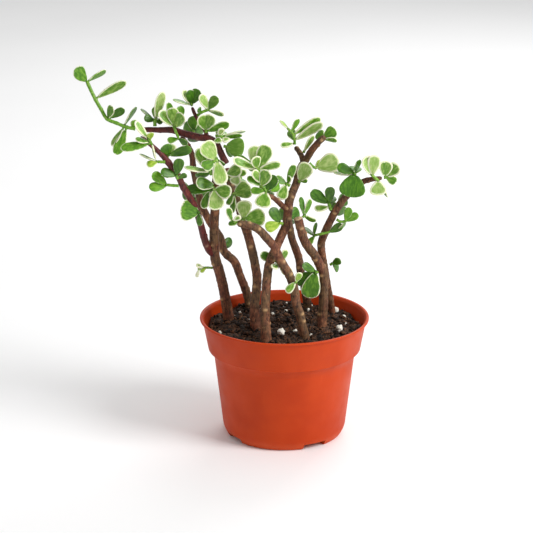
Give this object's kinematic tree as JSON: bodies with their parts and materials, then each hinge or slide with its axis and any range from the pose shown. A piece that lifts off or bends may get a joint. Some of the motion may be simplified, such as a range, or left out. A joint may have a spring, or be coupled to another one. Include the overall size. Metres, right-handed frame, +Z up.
{
  "type": "potted elephant bush",
  "caption": "Small variegated elephant bush with fleshy cream-edged leaves on branching brown stems, in a terracotta-coloured plastic nursery pot.",
  "frame": {"origin": "on the pot's vertical axis at the flat underside that it stands on", "axes": "+Z up along the pot's axis; +X to the right when the long green shoot reaches out to the left; +Y towards the back of the plant"},
  "size_m": [0.1938, 0.102, 0.2213],
  "materials": {
    "pot_plastic": "smooth satin moulded plastic, terracotta orange",
    "potting_mix": "rough loose dark brown potting mix with bark pieces",
    "perlite": "matt off-white porous grains",
    "bark": "dull brown bark with ring scars and tan bud scars",
    "young_bark": "smooth dark red young bark",
    "leaf": "fleshy satin green leaf with a cream-white margin"
  },
  "bodies": {
    "root": {"big_left_round_leaf": "leaf", "branch_back_leaves": "leaf", "branch_bend_leaves": "leaf", "branch_fan": "leaf", "branch_rosette": "leaf", "branch_round_leaf": "leaf", "centre_back_stem": "bark", "centre_back_stem_leaves": "leaf", "centre_left_stem": "bark", "centre_pale_leaf": "leaf", "centre_rosette": "leaf", "centre_stem": "bark", "centre_stem_low_leaves": "leaf", "centre_stem_side_leaves": "leaf", "centre_stem_upper_leaves": "leaf", "crown_back_leaves": "leaf", "crown_low_leaves": "leaf", "crown_middle_leaves": "leaf", "crown_upper_leaves": "leaf", "cut_stem_leaves": "leaf", "far_tip_shoot": "leaf", "fork_crotch_leaf": "leaf", "fork_right_leaves": "leaf", "fork_top_shoot": "leaf", "front_dark_leaf": "leaf", "front_left_middle_leaves": "leaf", "front_left_top_leaves": "leaf", "leaning_front_stem": "bark", "leaning_stem_low_leaves": "leaf", "leaning_stem_tip_leaves": "leaf", "left_back_stem": "bark", "left_back_stem_leaves": "leaf", "left_back_stem_low_leaves": "leaf", "left_branch_knot_leaves": "leaf", "left_front_stem": "bark", "left_stem_wilted_leaf": "leaf", "long_left_branch": "young_bark", "low_branch_end_leaves": "leaf", "low_branch_fan": "leaf", "low_branch_knot_leaves": "leaf", "low_branch_middle_leaves": "leaf", "low_branch_pair": "leaf", "low_left_branch": "young_bark", "perlite_grain_1": "perlite", "perlite_grain_2": "perlite", "pot": "pot_plastic", "potting_mix": "potting_mix", "right_back_stem": "bark", "right_big_leaf": "leaf", "right_branch_pale_leaves": "leaf", "right_stem": "bark", "right_stem_back_leaves": "leaf", "right_stem_bud_leaves": "leaf", "right_stem_inner_leaves": "leaf", "right_stem_low_leaves": "leaf", "right_stem_outer_leaves": "leaf", "right_tip_leaves": "leaf", "round_pale_leaf": "leaf", "upright_twig_shoot": "leaf", "upright_twig_side_leaves": "leaf"}
  },
  "joints": []
}
